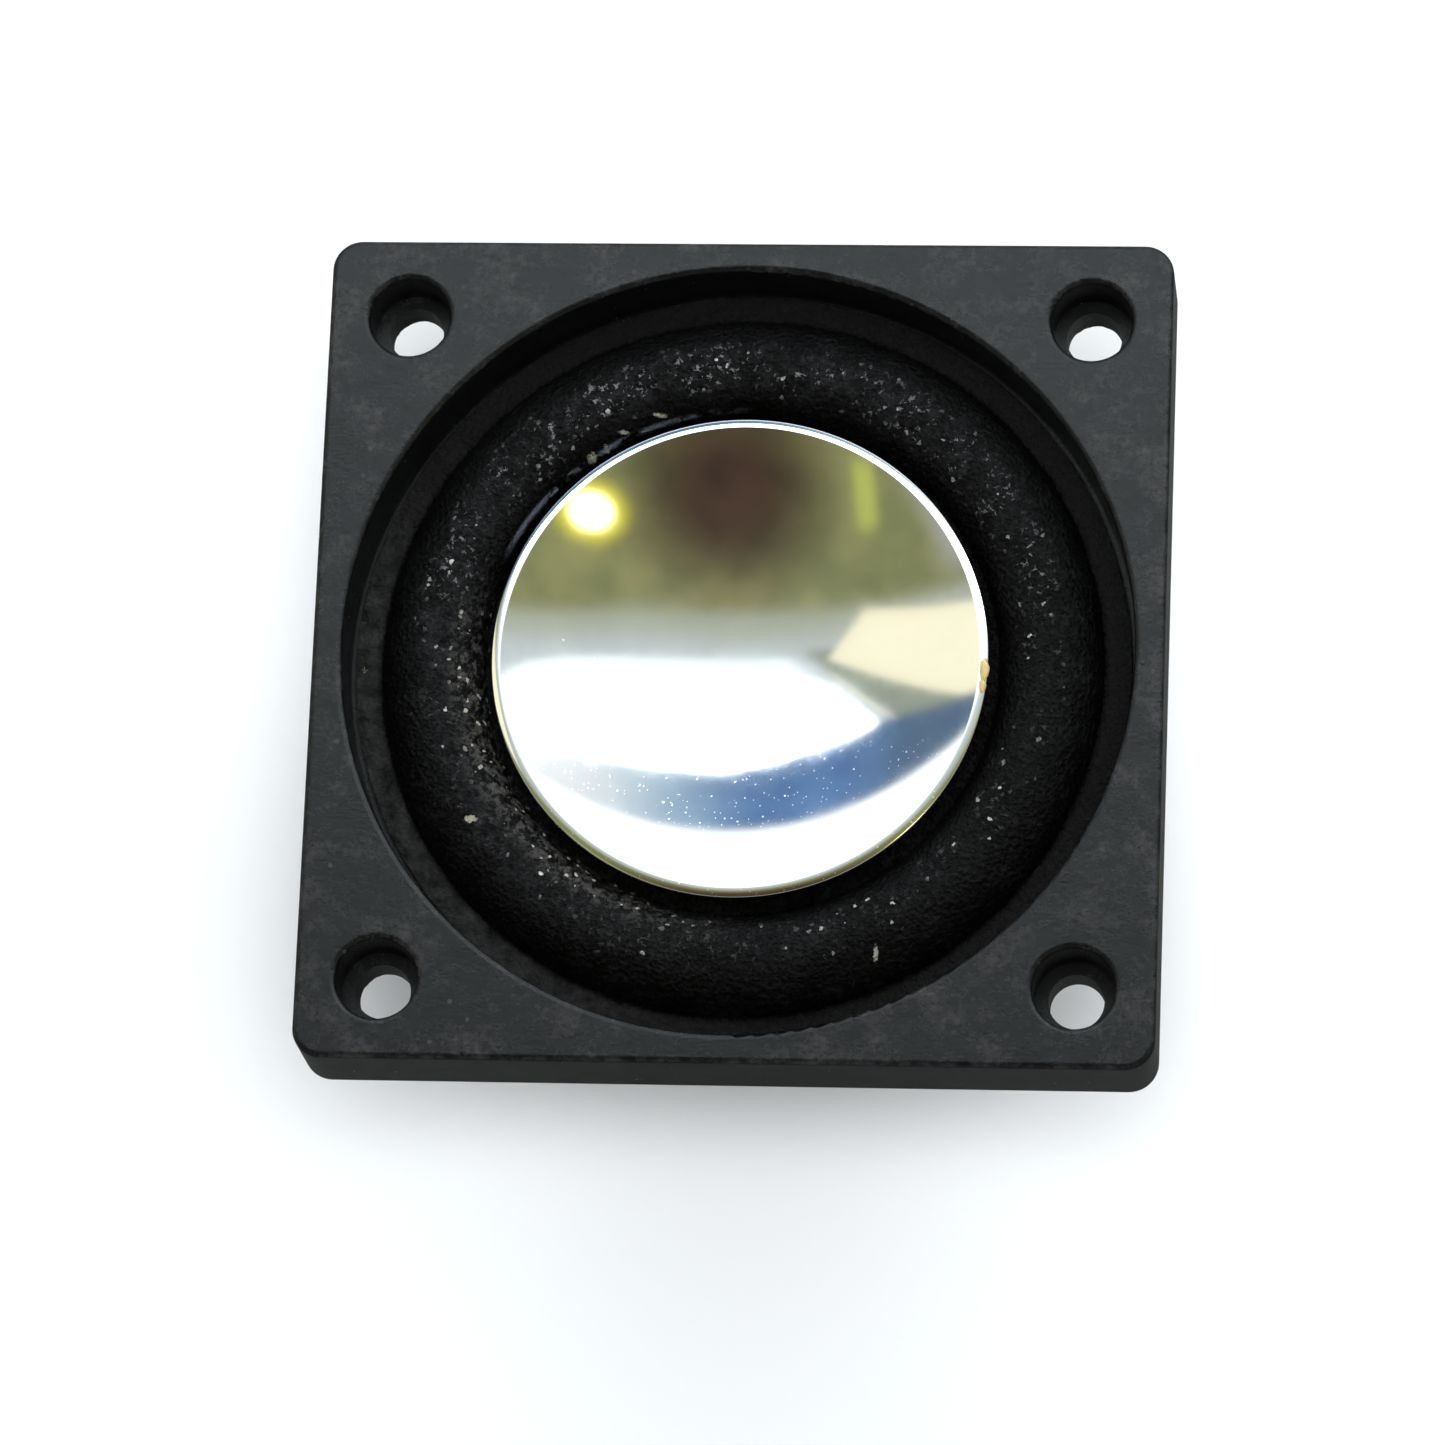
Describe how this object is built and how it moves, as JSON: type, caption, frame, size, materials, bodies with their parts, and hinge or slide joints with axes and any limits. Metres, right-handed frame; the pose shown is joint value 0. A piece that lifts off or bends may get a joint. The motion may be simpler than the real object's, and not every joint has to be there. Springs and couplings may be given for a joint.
{
  "type": "car tweeter",
  "caption": "Small square-flanged moving-coil tweeter with a foam roll surround and a concave polished metal diaphragm.",
  "frame": {"origin": "centre of the yoke's flat back face, which is the object's lowest face", "axes": "+Z out of the diaphragm, the way it plays; X and Y along the flange's sides; the terminals are on the +Y side"},
  "size_m": [0.043, 0.043, 0.02],
  "materials": {
    "frame_plastic": "matte",
    "gasket_foam": "matte",
    "surround_foam": "matte",
    "adhesive": "satin",
    "dark_adhesive": "satin",
    "dish_metal": "polished",
    "former_film": "satin",
    "copper": "satin",
    "kraft_paper": "matte",
    "spider_cloth": "matte",
    "plated_steel": "satin",
    "magnet_plating": "satin",
    "felt": "matte",
    "phenolic_board": "satin",
    "terminal_brass": "satin",
    "terminal_tinned": "satin",
    "lead_braid": "satin",
    "solder": "satin"
  },
  "bodies": {
    "chassis": {"frame": "frame_plastic", "rear_gasket": "gasket_foam", "surround": "surround_foam", "surround_adhesive": "adhesive", "spider": "spider_cloth", "yoke": "plated_steel", "magnet": "magnet_plating", "magnet_adhesive": "adhesive", "pole_plate": "plated_steel", "pole_felt": "felt", "yoke_adhesive": "adhesive", "terminal_board": "phenolic_board", "terminal_positive": "terminal_brass", "terminal_negative": "terminal_tinned", "terminal_rivets": "terminal_brass", "lead_positive": "lead_braid", "lead_negative": "lead_braid", "solder_joints": "solder"},
    "moving_assembly": {"diaphragm": "dish_metal", "diaphragm_edge_adhesive": "adhesive", "coil_former": "former_film", "coil_winding": "copper", "coil_paper_collar": "kraft_paper", "former_adhesive": "adhesive", "spider_adhesive": "dark_adhesive", "lead_anchors": "dark_adhesive"}
  },
  "joints": [
    {"name": "diaphragm_travel", "type": "slide", "parent": "chassis", "child": "moving_assembly", "axis": [0, 0, 1], "range_m": [-0.0015, 0.0015], "stiffness_N_per_m": 800, "deforming": ["surround", "spider", "lead_positive", "lead_negative"]}
  ]
}
